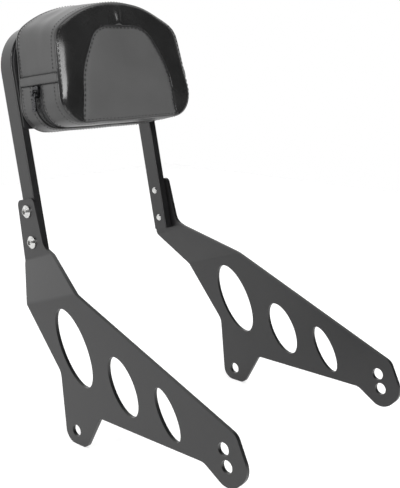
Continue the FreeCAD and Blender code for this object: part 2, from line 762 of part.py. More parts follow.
def pad_slice(name, base, rear, front, bottom=None, top=None):
    """The part of a pad piece between two depths ahead of the bolt line, and between two heights."""
    wide = pad_half() * 2
    bottom = -wide if bottom is None else bottom
    top = dim("pad_peak") * 2 if top is None else top
    return common(name, base, block(f"{name}_block", (-wide, -front, bottom), (wide, -rear, top)))


def insert_prism():
    """The outline of the front panel's insert, as a prism through the front panel."""
    bottom, waist = dim("pad_bottom") - dim("pad_depth"), dim("insert_waist")
    top = pad_apex() - dim("rim_top_width")
    foot = pad_half() - dim("rim_width")
    half = foot - dim("insert_taper")
    crown = half - dim("insert_shoulder")
    spread = (foot - half) * (waist - bottom) / (waist - dim("pad_bottom"))
    corners = [
        (-half - spread, bottom, 0),
        (half + spread, bottom, 0),
        (half, waist, dim("insert_waist_radius")),
        (crown, top, dim("insert_top_radius")),
        (-crown, top, dim("insert_top_radius")),
        (-half, waist, dim("insert_waist_radius")),
    ]
    return outline_body("insert_prism", corners, dim("pad_depth"), offset=pad_rear() + dim("pad_depth") / 2)


def pad_pieces():
    """Base board and foam inside the cover, and the cover cut into its panels along the seams."""
    form = pad_form()
    filling = doc.addObject("Part::Offset", "pad_filling")
    filling.Source = form
    bind(filling, "Value", -dim("cover_thickness"))
    shell = cut("cover_shell", form, filling)
    rear, front = pad_rear(), pad_rear() + dim("pad_depth")
    rear_seam, front_seam = rear + dim("back_roll"), front - dim("front_roll")
    beyond = front + dim("pad_depth")
    behind = -dim("pad_depth")

    bolt_room = dim("pad_bolt_dia") + dim("recess_clearance") * 2
    drills = pad_drills("back_panel_drills", bolt_room, behind, dim("pad_depth") * 2)
    back_panel = cut("cover_back_panel", pad_slice("back_panel_blank", shell, behind, rear_seam), drills)

    barrel_room = dim("tee_barrel_dia") + dim("recess_clearance")
    board_drills = pad_drills("board_drills", barrel_room, behind, dim("pad_depth") * 2)
    board = cut("pad_base_board", pad_slice("board_blank", filling, behind, board_front()), board_drills)

    flange_room = dim("tee_flange_dia") + dim("recess_clearance")
    flange_depth = dim("tee_flange_thickness") + dim("recess_clearance")
    tip_depth = plate_rear() - dim("washer_thickness") + dim("pad_bolt_length") - board_front()
    recesses = fuse("foam_recesses", [
        pad_drills("flange_recess", flange_room, board_front(), flange_depth),
        pad_drills("tip_recess", bolt_room, board_front(), tip_depth + dim("recess_clearance")),
    ])
    foam = cut("pad_foam", pad_slice("foam_blank", filling, board_front(), beyond), recesses)

    front_cap = pad_slice("front_cap", shell, front_seam, beyond)
    prism = insert_prism()
    rim = cut("cover_rim_panel", front_cap, prism)
    insert = common("cover_insert_panel", front_cap, prism)

    band_low = dim("band_bottom")
    band_high = band_low + dim("band_width")
    zip_rear = dim("zip_offset") - dim("zip_width") / 2
    zip_front = dim("zip_offset") + dim("zip_width") / 2
    top_gusset = pad_slice("cover_top_gusset", shell, rear_seam, front_seam, bottom=band_high)
    bands = pad_slice("zip_end_bands", shell, rear_seam, front_seam, band_low, band_high)
    lower_rear = pad_slice("cover_lower_gusset_rear", shell, rear_seam, zip_rear, top=band_low)
    tape = pad_slice("zipper_tape", shell, zip_rear, zip_front, top=band_low)
    lower_front = pad_slice("cover_lower_gusset_front", shell, zip_front, front_seam, top=band_low)
    panels = [board, foam, back_panel, rim, insert, top_gusset, bands, lower_rear, tape, lower_front]
    return [lean_back(panel) for panel in panels]


# Zipper slider and pull, on the pad's right side

def slider_seat():
    """Half width of the pad's side at the slider, and the side's slope from the upright."""
    wide, narrow = pad_half(), shoulder_half()
    slope = (wide - narrow) / (dim("pad_shoulder") - dim("pad_bottom"))
    half = wide - slope * (dim("slider_height") - dim("pad_bottom"))
    return half, arc_tangent(slope)


def pull_hinge():
    """Row coordinates of the middle of the pull's hinge line, which runs along Y."""
    half, slope = slider_seat()
    x = -half - dim("pull_stand") * cosine(slope)
    above = dim("slider_height") + dim("pull_stand") * sine(slope)
    return (x, *leaned(dim("zip_offset"), above))


def zipper_slider():
    """A tapered plate on the zipper with a bail over the pull's eye."""
    half, slope = slider_seat()
    length, wall, corner = dim("slider_length") / 2, dim("slider_thickness"), dim("slider_corner")
    top, low = dim("slider_top_width") / 2, dim("slider_low_width") / 2
    corners = [(-low, -length, corner), (low, -length, corner), (top, length, corner), (-top, length, corner)]
    plate = outline_body("slider_plate", corners, wall, role="YZ_Plane")
    plate.Placement = Placement(Vector(0, 0, 0), Rotation(Vector(0, 1, 0), slope.number))
    bind(plate, "Placement.Rotation.Angle", slope)
    bind(plate, "Placement.Base.x", -half - wall * cosine(slope))
    bind(plate, "Placement.Base.y", -dim("zip_offset"))
    bind(plate, "Placement.Base.z", dim("slider_height") + wall * sine(slope))
    base = lean_back(group("slider_base", [plate]))

    x, y, z = pull_hinge()
    gap, strap = dim("bail_gap"), dim("bail_thickness")
    outside = gap + strap
    width = dim("bail_width")
    root_depth = dim("pull_stand") - wall / 2
    ring = rod("bail_ring", outside * 2, width, (x, y + width / 2, z), "y")
    legs = block("bail_legs", (x, y - width / 2, z - outside), (x + root_depth, y + width / 2, z + outside))
    eye = rod("bail_eye", gap * 2, width * 2, (x, y + width, z), "y")
    slot = block("bail_slot", (x, y - width, z - gap), (x + root_depth * 2, y + width, z + gap))
    bail = cut("bail", fuse("bail_blank", [ring, legs]), fuse("bail_opening", [eye, slot]))
    return fuse("zipper_slider", [base, bail])


def zipper_pull():
    """A flat pull that hangs by the ring of its eye."""
    x, y, z = pull_hinge()
    wall = dim("pull_thickness")
    eye, hole = dim("pull_eye_dia"), dim("pull_eye_hole")
    eye_middle = -(eye + hole) / 4
    neck, end = dim("pull_neck") / 2, dim("pull_width") / 2
    bottom = -dim("pull_length")
    corners = [
        (-end, bottom, dim("pull_corner")),
        (end, bottom, dim("pull_corner")),
        (end, bottom / 2, dim("pull_corner")),
        (neck, eye_middle - hole / 2 - wall / 2, 0),
        (-neck, eye_middle - hole / 2 - wall / 2, 0),
        (-end, bottom / 2, dim("pull_corner")),
    ]
    tongue = outline_body("pull_tongue", corners, wall, role="YZ_Plane", midplane=True)
    ring = rod("pull_ring", eye, wall, (-wall / 2, plain(0), eye_middle), "x")
    opening = rod("pull_opening", hole, wall * 2, (-wall, plain(0), eye_middle), "x")
    pull = cut("zipper_pull", fuse("pull_blank", [tongue, ring]), opening)
    for axis, value in zip("xyz", (x, y, z)):
        bind(pull, f"Placement.Base.{axis}", value)
    return pull


def all_pieces():
    metal = [*side_plates(), upright_hoop(), upright_bolts(), pad_back_plate()]
    fixings = [pad_bolts(), pad_washers(), pad_tee_nuts()]
    return metal + fixings + pad_pieces() + [zipper_slider(), zipper_pull()]


def check(objects):
    """Stops before anything is written if a feature failed or a piece isn't a sound solid."""
    failed = [o.Name for o in doc.Objects if {"Invalid", "Error"} & set(o.State)]
    if failed:
        raise RuntimeError(f"features failed: {failed}")
    for obj in objects:
        if obj.Shape.isNull() or not obj.Shape.isValid() or not obj.Shape.Solids:
            raise RuntimeError(f"{obj.Label} is not a sound solid")


pieces = all_pieces()
doc.recompute()
check(pieces)
os.makedirs("parts", exist_ok=True)
for piece in pieces:
    piece.Shape.exportStep(f"parts/{piece.Label}.step")
    print(piece.Label, len(piece.Shape.Solids), round(piece.Shape.Volume, 1))
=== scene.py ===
import math

import bmesh
import bpy
from mathutils import Matrix, Vector, bvhtree, kdtree, noise


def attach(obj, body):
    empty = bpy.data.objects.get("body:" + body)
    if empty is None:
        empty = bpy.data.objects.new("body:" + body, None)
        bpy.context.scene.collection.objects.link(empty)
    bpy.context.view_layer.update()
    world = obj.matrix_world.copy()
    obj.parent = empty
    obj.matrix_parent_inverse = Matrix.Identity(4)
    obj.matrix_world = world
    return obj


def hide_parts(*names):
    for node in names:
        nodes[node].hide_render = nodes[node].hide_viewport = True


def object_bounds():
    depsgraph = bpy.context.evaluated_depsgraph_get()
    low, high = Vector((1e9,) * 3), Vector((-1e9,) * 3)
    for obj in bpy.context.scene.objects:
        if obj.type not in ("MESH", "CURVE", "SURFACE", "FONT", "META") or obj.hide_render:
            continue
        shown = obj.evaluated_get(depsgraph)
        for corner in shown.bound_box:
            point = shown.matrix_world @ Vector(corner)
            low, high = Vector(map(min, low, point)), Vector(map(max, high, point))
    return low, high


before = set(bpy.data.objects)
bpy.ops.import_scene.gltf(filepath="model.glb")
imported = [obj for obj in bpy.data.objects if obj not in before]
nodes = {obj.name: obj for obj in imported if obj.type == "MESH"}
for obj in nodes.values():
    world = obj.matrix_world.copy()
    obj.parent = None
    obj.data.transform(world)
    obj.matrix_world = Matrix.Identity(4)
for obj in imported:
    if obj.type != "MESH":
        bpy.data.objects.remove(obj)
cad_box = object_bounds()

# Side plates, hoop and back plate: steel sheet cut to its outline and bent, and flat bar bent to a
# hoop. All of it is coated in satin black powder, which sets with a fine orange peel and a slow
# drift in its gloss.


def shader(tree, kind, **values):
    """A node with its unlinked sockets set by name."""
    node = tree.nodes.new(kind)
    for name, value in values.items():
        node.inputs[name.replace("_", " ")].default_value = value
    return node


def orange_peel_group():
    """The fine ripple of a coat or plate on metal, and the slow drift of its tone."""
    group = bpy.data.node_groups.new("orange_peel", "ShaderNodeTree")
    group.interface.new_socket("Scale", in_out="INPUT", socket_type="NodeSocketFloat")
    group.interface.new_socket("Height", in_out="OUTPUT", socket_type="NodeSocketFloat")
    group.interface.new_socket("Drift", in_out="OUTPUT", socket_type="NodeSocketFloat")
    entry, leave = group.nodes.new("NodeGroupInput"), group.nodes.new("NodeGroupOutput")
    place = group.nodes.new("ShaderNodeTexCoord")
    fine = shader(group, "ShaderNodeTexNoise", Detail=2.0)
    broad = shader(group, "ShaderNodeTexNoise", Scale=14.0, Detail=3.0)
    group.links.new(place.outputs["Object"], fine.inputs["Vector"])
    group.links.new(place.outputs["Object"], broad.inputs["Vector"])
    group.links.new(entry.outputs["Scale"], fine.inputs["Scale"])
    group.links.new(fine.outputs["Fac"], leave.inputs["Height"])
    group.links.new(broad.outputs["Fac"], leave.inputs["Drift"])
    return group


orange_peel = orange_peel_group()


def ramp(tree, source, dark, light):
    """Turns a noise into a colour between two."""
    node = tree.nodes.new("ShaderNodeValToRGB")
    for element, place, colour in zip(node.color_ramp.elements, (0.3, 0.7), (dark, light)):
        element.position = place
        element.color = (*colour, 1)
    tree.links.new(source, node.inputs["Fac"])
    return node.outputs["Color"]


def spread(tree, source, low, high):
    """Turns a noise into a value between two."""
    node = shader(tree, "ShaderNodeMapRange", From_Min=0.3, From_Max=0.7, To_Min=low, To_Max=high)
    tree.links.new(source, node.inputs["Value"])
    return node.outputs["Result"]


def new_material(name):
    material = bpy.data.materials.new(name)
    material.use_nodes = True
    tree = material.node_tree
    return material, tree, tree.nodes["Principled BSDF"]


def bump(tree, surface, height, strength, distance):
    """Lets a height ripple the surface."""
    node = shader(tree, "ShaderNodeBump", Strength=strength, Distance=distance)
    tree.links.new(height, node.inputs["Height"])
    tree.links.new(node.outputs["Normal"], surface.inputs["Normal"])


def metal_finish(name, scale, tone, dark, light, smooth, rough, metallic, strength, distance):
    """A coat or plate on metal, whose colour and gloss follow one output of the orange peel."""
    material, tree, surface = new_material(name)
    peel = tree.nodes.new("ShaderNodeGroup")
    peel.node_tree = orange_peel
    peel.inputs["Scale"].default_value = scale
    tree.links.new(ramp(tree, peel.outputs[tone], dark, light), surface.inputs["Base Color"])
    tree.links.new(spread(tree, peel.outputs[tone], smooth, rough), surface.inputs["Roughness"])
    surface.inputs["Metallic"].default_value = metallic
    bump(tree, surface, peel.outputs["Height"], strength, distance)
    return material


def dress(names, material):
    """Gives CAD nodes their finish."""
    for name in names:
        nodes[name].data.materials.clear()
        nodes[name].data.materials.append(material)


powder_coat = metal_finish(
    "satin_black_powder_coat", scale=900.0, tone="Drift",
    dark=(0.005, 0.005, 0.0054), light=(0.009, 0.009, 0.0094),
    smooth=0.32, rough=0.4, metallic=0.0, strength=0.12, distance=0.0003,
)
dress(("side_plate_right", "side_plate_left", "upright_hoop", "pad_back_plate"), powder_coat)

# Fasteners: domed socket-head bolts that hold the uprights to the plates' tabs, and the pad's own
# bolts, washers and tee nuts. They are steel in bright zinc plate, with the faint cloudiness that
# zinc has.
zinc_plate = metal_finish(
    "bright_zinc_plate", scale=500.0, tone="Height",
    dark=(0.42, 0.42, 0.415), light=(0.58, 0.58, 0.57),
    smooth=0.16, rough=0.32, metallic=1.0, strength=0.1, distance=0.0002,
)
dress(("upright_bolts", "pad_bolts", "pad_washers", "pad_tee_nuts"), zinc_plate)

# Pad cover: leather panels sewn round foam. The glossy rim is joined to a gusset all round and to a
# matte insert that runs down to the bottom seam. The cover is drawn flat, then blown up against its
# seams by a cloth simulation.

# the pad's own axes lean back with the hoop and start midway between the tab bolts: x runs across
# the bike, h up along the hoop and depth forwards
LEAN = math.radians(12.2)
PAD_PLACE = Matrix.Translation((0, 0.1005, 0.2)) @ Matrix.Rotation(-LEAN, 4, "X")
PAD_FRONT, PAD_DEPTH = 0.085, 0.072
PAD_BOTTOM, PAD_HALF_WIDTH, BOTTOM_RADIUS = 0.099, 0.1003, 0.029
SIDE_SLOPE, REAR_FLARE = 0.1098, 0.0025
SHOULDER, PEAK, SHOULDER_RADIUS, TOP_FLAT, REAR_RISE = 0.1982, 0.2529, 0.026, 0.00303, 0.0117
BAND_LOW, BAND_HIGH, BAND_SLANT, BAND_LEVEL_DEPTH = 0.1475, 0.1575, 0.087, 0.039

# depths of the seams and of the rows of stitches in the gusset, with rings of the mesh between them
FRONT_SEAM, GUSSET_ROW, FRONT_ZIP_ROW = 0.079, 0.0732, 0.0535
ZIP_FRONT, ZIP_MIDDLE, ZIP_REAR = 0.05025, 0.0435, 0.03675
REAR_ZIP_ROW, REAR_ROW, REAR_SEAM, BACK_ROLL = 0.0335, 0.02, 0.016, 0.0134
BACK_MIDDLE = 0.165
RINGS = (
    FRONT_SEAM, 0.0772, GUSSET_ROW, 0.0685, 0.063, 0.0575, FRONT_ZIP_ROW,
    ZIP_FRONT, 0.0473, ZIP_MIDDLE, 0.0397, ZIP_REAR,
    REAR_ZIP_ROW, 0.029, 0.0245, REAR_ROW, REAR_SEAM, BACK_ROLL,
)

# stations along the seam, from the insert's left foot along the bottom and round to it again
FOOT_STEPS, SIDE_STEPS, BAND_STEPS, TOP_STEPS = 28, 20, 2, 18
RIGHT_BAND = FOOT_STEPS + SIDE_STEPS
RIGHT_TOP = RIGHT_BAND + BAND_STEPS
LEFT_BAND = RIGHT_TOP + 2 * TOP_STEPS
LEFT_SIDE = LEFT_BAND + BAND_STEPS
SEAM_COUNT = LEFT_SIDE + SIDE_STEPS
RIM_COUNT = SEAM_COUNT - FOOT_STEPS


def rounded_path(corners, steps=24):
    """Points along a closed outline of corners (x, h, radius), counter-clockwise."""
    path = []
    for i, (x, h, radius) in enumerate(corners):
        corner = Vector((x, h))
        before = (Vector(corners[i - 1][:2]) - corner).normalized()
        after = (Vector(corners[(i + 1) % len(corners)][:2]) - corner).normalized()
        if not radius:
            path.append(corner)
            continue
        half = before.angle(after) / 2
        centre = corner + (before + after).normalized() * radius / math.sin(half)
        first = corner + before * radius / math.tan(half) - centre
        turn = first.angle_signed(corner + after * radius / math.tan(half) - centre)
        for step in range(steps + 1):
            arm = first.copy()
            arm.rotate(Matrix.Rotation(-turn * step / steps, 2))
            path.append(centre + arm)
    return path


def even_points(path, count):
    """That many equal steps along an open path, without its last point."""
    lengths = [0.0]
    for a, b in zip(path, path[1:]):
        lengths.append(lengths[-1] + (b - a).length)
    points, k = [], 0
    for i in range(count):
        want = lengths[-1] * i / count
        while lengths[k + 1] < want:
            k += 1
        share = (want - lengths[k]) / max(lengths[k + 1] - lengths[k], 1e-9)
        points.append(path[k].lerp(path[k + 1], share))
    return points


def between(path, start, stop):
    """The stretch of a closed path between the points nearest to two given ones, in its direction."""
    near = [min(range(len(path)), key=lambda i: (path[i] - Vector(p)).length) for p in (start, stop)]
    last = near[1] if near[1] > near[0] else near[1] + len(path)
    stretch = [path[i % len(path)] for i in range(near[0], last + 1)]
    return [Vector(start)] + stretch[1:-1] + [Vector(stop)]


def dense(path, step=0.0005):
    """A closed path with points close together."""
    closed = path + path[:1]
    points = []
    for a, b in zip(closed, closed[1:]):
        parts = max(1, round((b - a).length / step))
        points += [a.lerp(b, i / parts) for i in range(parts)]
    return points


def side_x(h, depth):
    """Half width of the pad's straight side at a height: the sides flare a little towards the back."""
    flare = REAR_FLARE * (FRONT_SEAM - depth) / (FRONT_SEAM - REAR_SEAM)
    return PAD_HALF_WIDTH + flare - (h - PAD_BOTTOM) * SIDE_SLOPE


def band_height(edge, depth):
    """Height of a band's edge at a depth: the bands are sewn on at a slant, lower in front."""
    return edge - BAND_SLANT * (depth - BAND_LEVEL_DEPTH)


def pad_outline(depth):
    """The pad's outline at a depth: the arched top rises towards the back."""
    lift = REAR_RISE * (PAD_FRONT - depth) / PAD_DEPTH
    shoulder, peak = SHOULDER + lift, PEAK + lift
    foot, run, rise = side_x(PAD_BOTTOM, depth), side_x(shoulder, depth), peak - shoulder
    slope = math.atan2(rise, run)
    corner = SHOULDER_RADIUS * math.tan((math.pi / 2 - math.atan(SIDE_SLOPE) - slope) / 2)
    arch = (math.hypot(run, rise) - corner - TOP_FLAT) / math.tan(slope)
    return dense(rounded_path([
        (-foot, PAD_BOTTOM, BOTTOM_RADIUS), (foot, PAD_BOTTOM, BOTTOM_RADIUS),
        (run, shoulder, SHOULDER_RADIUS), (0.0, peak, arch), (-run, shoulder, SHOULDER_RADIUS),
    ]))


INSERT_FOOT, INSERT_WAIST, INSERT_SHOULDER = (0.07, PAD_BOTTOM), (0.0625, 0.155), (0.035, 0.202)
WAIST_RADIUS, CROWN_RADIUS, CROWN_CORNER = 0.09, 0.03, (0.032, 0.197)
INSERT_SIDE_STEPS, INSERT_TOP_STEPS = 26, 28


def mirrored(place):
    return -place[0], place[1]


def seam_stations(depth):
    """Stations along the pad's outline at a depth, as many between the panels' corners at each."""
    path = pad_outline(depth)
    top = max(path, key=lambda p: p.y)
    edges = [band_height(edge, depth) for edge in (BAND_LOW, BAND_HIGH)]
    right = [INSERT_FOOT, *((side_x(h, depth), h) for h in edges), (0.0, top.y)]
    left = [mirrored(place) for place in reversed(right)]
    stations = even_points(between(path, mirrored(INSERT_FOOT), INSERT_FOOT), FOOT_STEPS)
    counts = (SIDE_STEPS, BAND_STEPS, TOP_STEPS)
    for stops, steps in ((right, counts), (left, counts[::-1])):
        for start, stop, count in zip(stops, stops[1:], steps):
            stations += even_points(between(path, start, stop), count)
    return stations


def insert_stations(path):
    """Stations along the insert's border, from its right foot over the top to its left foot."""
    right = min(path, key=lambda p: (p - Vector(CROWN_CORNER)).length)
    left = mirrored(right)
    stations = even_points(between(path, INSERT_FOOT, right), INSERT_SIDE_STEPS)
    stations += even_points(between(path, right, left), INSERT_TOP_STEPS)
    return stations + even_points(between(path, left, mirrored(INSERT_FOOT)), INSERT_SIDE_STEPS)


pad_path = pad_outline(FRONT_SEAM)
insert_path = dense(rounded_path([
    (*mirrored(INSERT_FOOT), 0), (*INSERT_FOOT, 0), (*INSERT_WAIST, WAIST_RADIUS),
    (*INSERT_SHOULDER, CROWN_RADIUS), (*mirrored(INSERT_SHOULDER), CROWN_RADIUS),
    (*mirrored(INSERT_WAIST), WAIST_RADIUS),
]))
RIM, INSERT, TOP, BAND, LOWER_FRONT, TAPE, LOWER_REAR, BACK = range(8)


def gusset_panel(station, depth):
    """Which panel of the gusset lies between two stations of the seam, at a depth."""
    if RIGHT_TOP <= station < LEFT_BAND:
        return TOP
    if RIGHT_BAND <= station < LEFT_SIDE:
        return BAND
    if depth > ZIP_FRONT:
        return LOWER_FRONT
    return TAPE if depth > ZIP_REAR else LOWER_REAR


def pad_point(place, depth):
    return Vector((place[0], -depth, place[1]))


def draw_gusset(bm, panel, seam):
    """Draws the gusset back from the front seam, ring by ring.

    Gives the places of the rings' points, and the last ring.
    """
    edges = [bm.edges.new((seam[i], seam[(i + 1) % SEAM_COUNT])) for i in range(SEAM_COUNT)]
    ring, rows = seam, [[vert.co.copy() for vert in seam]]
    for depth, new_depth in zip(RINGS, RINGS[1:]):
        made = bmesh.ops.extrude_edge_only(bm, edges=edges)["geom"]
        fresh = {e for e in made if isinstance(e, bmesh.types.BMVert)}
        station_of = {vert: i for i, vert in enumerate(ring)}
        middle = (depth + new_depth) / 2
        follow = {}
        for face in (f for f in made if isinstance(f, bmesh.types.BMFace)):
            stations = sorted(station_of[v] for v in face.verts if v in station_of)
            station = stations[1] if stations == [0, SEAM_COUNT - 1] else stations[0]
            face[panel] = gusset_panel(station, middle) if middle > REAR_SEAM else BACK
            for edge in face.edges:
                a, b = edge.verts
                if (a in fresh) != (b in fresh):
                    follow[a if b in fresh else b] = b if b in fresh else a
        ring = [follow[v] for v in ring]
        for vert, place in zip(ring, seam_stations(new_depth)):
            vert.co = pad_point(place, new_depth)
        rows.append([vert.co.copy() for vert in ring])
        edges = [bm.edges.get((ring[i], ring[(i + 1) % SEAM_COUNT])) for i in range(SEAM_COUNT)]
    return rows, ring


def close_back(bm, panel, ring):
    """Rolls the last ring in and closes it with the back panel, in rings that shrink to its middle."""
    roll_middle, width_share, height_share = 0.16, 0.994, 0.992
    for vert in ring:
        vert.co.x *= width_share
        vert.co.z = roll_middle + (vert.co.z - roll_middle) * height_share
    back = bm.faces.new(ring)
    back[panel] = BACK
    middle = pad_point((0, BACK_MIDDLE), BACK_ROLL)
    for share in (0.985, 0.93, 0.8):
        back = bmesh.ops.extrude_discrete_faces(bm, faces=[back])["faces"][0]
        for vert in back.verts:
            vert.co = middle + (vert.co - middle) * share
        for face in {f for vert in back.verts for f in vert.link_faces}:
            face[panel] = BACK


def draw_front(bm, panel, seam):
    """Lays the rim between the seam and the insert's border, and fills the insert. Gives the border."""
    border_depth = 0.0825
    border = [bm.verts.new(pad_point(p, border_depth)) for p in insert_stations(insert_path)[1:]]
    inner = [seam[FOOT_STEPS]] + border + [seam[0]]
    outer = seam[FOOT_STEPS:] + [seam[0]]
    inner_edges = [bm.edges.new(pair) for pair in zip(inner, inner[1:])]
    row = [vert.co.copy() for vert in inner]
    for i in range(RIM_COUNT):
        corners = (outer[i], outer[i + 1], inner[i + 1], inner[i])
        face = bm.faces.new(list(dict.fromkeys(corners)))
        face[panel] = RIM
    spokes = [bm.edges.get((outer[i], inner[i])) for i in range(1, RIM_COUNT)]
    bmesh.ops.subdivide_edges(bm, edges=spokes, cuts=8, use_grid_fill=True)
    sides = inner_edges[:INSERT_SIDE_STEPS] + inner_edges[-INSERT_SIDE_STEPS:]
    for face in bmesh.ops.grid_fill(bm, edges=sides, use_interp_simple=True)["faces"]:
        face[panel] = INSERT
    return row


def flat_cover():
    """The cover before it is filled, with its layer of panels and the places of its rings and border."""
    bm = bmesh.new()
    panel = bm.faces.layers.int.new("panel")
    seam = [bm.verts.new(pad_point(p, FRONT_SEAM)) for p in seam_stations(FRONT_SEAM)]
    rows, last_ring = draw_gusset(bm, panel, seam)
    close_back(bm, panel, last_ring)
    rows.append(draw_front(bm, panel, seam))
    bmesh.ops.recalc_face_normals(bm, faces=bm.faces)
    bm.normal_update()
    bm.verts.index_update()
    tree = kdtree.KDTree(len(bm.verts))
    for vert in bm.verts:
        tree.insert(vert.co, vert.index)
    tree.balance()
    return bm, panel, [[tree.find(place)[1] for place in row] for row in rows]


def nearest_gap(points):
    """A look-up of the distance from a front point to a path."""
    tree = kdtree.KDTree(len(points))
    for i, point in enumerate(points):
        tree.insert((point.x, point.y, 0), i)
    tree.balance()
    return lambda x, h: tree.find((x, h, 0))[2]


seam_gap = nearest_gap(pad_path)
border_gap = nearest_gap([p for p in insert_path if p.y > PAD_BOTTOM + 0.0005])


def panels_at(vert, panel):
    return {face[panel] for face in vert.link_faces}


def crown(bm, panel):
    """Raises the front from its seam in a rolled shoulder, with a valley along the insert's border.

    The roll is wide and high along the sides, and low along the top and at the bottom corners.
    """
    top_start, top_reach, corner_start, corner_reach = 0.185, 0.025, 0.13, 0.02
    roll_width, narrowing, roll_height, lowering = 0.013, 0.005, 0.0052, 0.0034
    valley_width, valley_depth, valley_from_seam = 0.003, 0.0008, 0.012
    for vert in bm.verts:
        if not panels_at(vert, panel) <= {RIM, INSERT}:
            continue
        x, h = vert.co.x, vert.co.z
        from_seam, from_border = seam_gap(x, h), border_gap(x, h)
        low = max(min((h - top_start) / top_reach, 1), min((corner_start - h) / corner_reach, 1), 0)
        roll = math.sqrt(1 - (1 - min(from_seam / (roll_width - narrowing * low), 1)) ** 2)
        valley = math.exp(-((from_border / valley_width) ** 2)) * min(from_seam / valley_from_seam, 1)
        vert.co.y = -(FRONT_SEAM + (roll_height - lowering * low) * roll - valley_depth * valley)


def fill_cover(bm, panel):
    """Blows the cover up with air pressure against its seams, and brings the result back to the mesh."""
    mesh = bpy.data.meshes.new("cover_in_the_press")
    bm.to_mesh(mesh)
    piece = bpy.data.objects.new("cover_in_the_press", mesh)
    bpy.context.scene.collection.objects.link(piece)
    hold, slack = piece.vertex_groups.new(name="hold"), piece.vertex_groups.new(name="slack")
    fast, border_hold, gusset_hold = 1.0, 0.9, 0.55
    for vert in bm.verts:
        around = panels_at(vert, panel)
        if BACK in around:
            hold.add([vert.index], fast, "REPLACE")
        elif around & {RIM, INSERT} and len(around) > 1:
            hold.add([vert.index], fast if around - {RIM, INSERT} else border_hold, "REPLACE")
        elif len(around) > 1:
            hold.add([vert.index], gusset_hold, "REPLACE")
        if around == {INSERT}:
            slack.add([vert.index], 1.0, "REPLACE")
    cloth = piece.modifiers.new("fill", "CLOTH").settings
    cloth.quality = 7
    cloth.mass = 0.25
    cloth.tension_stiffness = cloth.compression_stiffness = 25.0
    cloth.shear_stiffness = 8.0
    cloth.bending_stiffness = 0.6
    cloth.vertex_group_mass = "hold"
    cloth.vertex_group_shrink = "slack"
    cloth.shrink_min = 0.0
    cloth.shrink_max = -0.006
    cloth.use_pressure = True
    cloth.uniform_pressure_force = 4.0
    cloth.effector_weights.gravity = 0.0
    scene = bpy.context.scene
    for step in range(1, 21):
        scene.frame_set(step)
    filled = piece.evaluated_get(bpy.context.evaluated_depsgraph_get()).data
    longest_move = 0.006
    for vert, point in zip(bm.verts, filled.vertices):
        move = point.co - vert.co
        vert.co += move.normalized() * min(move.length, longest_move)
    scene.frame_set(1)
    bpy.data.objects.remove(piece)


def ease_leather(bm, panel):
    """Evens the front out, gives it a pucker, and the cover the hollows that hand-cut foam leaves."""
    front = [vert for vert in bm.verts if panels_at(vert, panel) in ({RIM}, {INSERT})]
    for _ in range(6):
        bmesh.ops.smooth_vert(bm, verts=front, factor=0.5, use_axis_y=True)
    # the rim's leather is gathered at the middle of the top, where it is eased round the insert
    pucker_low, pucker_high, pucker_half_width, pucker_height = 0.203, 0.224, 0.003, 0.003
    for vert in front:
        if abs(vert.co.x) < pucker_half_width and pucker_low < vert.co.z < pucker_high:
            up = (vert.co.z - pucker_low) / (pucker_high - pucker_low)
            vert.co.y -= pucker_height * math.sin(math.pi * up) ** 0.5
    swell_height, swell_pitch = 0.0007, 38
    fold_height, fold_pitch = 0.0006, Vector((16, 80, 13))
    for vert in bm.verts:
        if BACK not in panels_at(vert, panel):
            swell, fold = noise.noise(vert.co * swell_pitch), noise.noise(vert.co * fold_pitch)
            vert.co += vert.normal * (swell_height * swell + fold_height * fold)
    bm.normal_update()


cover_bm, panel_layer, cover_rows = flat_cover()
gusset_rings, insert_border = cover_rows[:-1], cover_rows[-1]
crown(cover_bm, panel_layer)
cover_bm.verts.ensure_lookup_table()
cover_bm.verts.index_update()
fill_cover(cover_bm, panel_layer)
ease_leather(cover_bm, panel_layer)


def leather_group():
    """Pebbled grain and soft unevenness of leather, at the size of the real pores."""
    group = bpy.data.node_groups.new("leather_grain", "ShaderNodeTree")
    group.interface.new_socket("Pores", in_out="INPUT", socket_type="NodeSocketFloat")
    group.interface.new_socket("Height", in_out="OUTPUT", socket_type="NodeSocketFloat")
    group.interface.new_socket("Cloud", in_out="OUTPUT", socket_type="NodeSocketFloat")
    entry, leave = group.nodes.new("NodeGroupInput"), group.nodes.new("NodeGroupOutput")
    place = group.nodes.new("ShaderNodeTexCoord")
    pebbles = group.nodes.new("ShaderNodeTexVoronoi")
    pebbles.feature = "SMOOTH_F1"
    soft = shader(group, "ShaderNodeTexNoise", Scale=260.0, Detail=3.0)
    cloud = shader(group, "ShaderNodeTexNoise", Scale=22.0, Detail=4.0)
    for node in (pebbles, soft, cloud):
        group.links.new(place.outputs["Object"], node.inputs["Vector"])
    group.links.new(entry.outputs["Pores"], pebbles.inputs["Scale"])
    mix = group.nodes.new("ShaderNodeMath")
    mix.operation = "MULTIPLY_ADD"
    mix.inputs[1].default_value = 0.6
    group.links.new(pebbles.outputs["Distance"], mix.inputs[0])
    group.links.new(soft.outputs["Fac"], mix.inputs[2])
    group.links.new(mix.outputs["Value"], leave.inputs["Height"])
    group.links.new(cloud.outputs["Fac"], leave.inputs["Cloud"])
    return group


leather_grain = leather_group()


def leather(name, dark, light, smooth, rough, pores, strength):
    material, tree, surface = new_material(name)
    grain = tree.nodes.new("ShaderNodeGroup")
    grain.node_tree = leather_grain
    grain.inputs["Pores"].default_value = pores
    colour = ramp(tree, grain.outputs["Cloud"], (dark,) * 3, (light,) * 3)
    tree.links.new(colour, surface.inputs["Base Color"])
    tree.links.new(spread(tree, grain.outputs["Cloud"], smooth, rough), surface.inputs["Roughness"])
    bump(tree, surface, grain.outputs["Height"], strength, 0.0004)
    return material


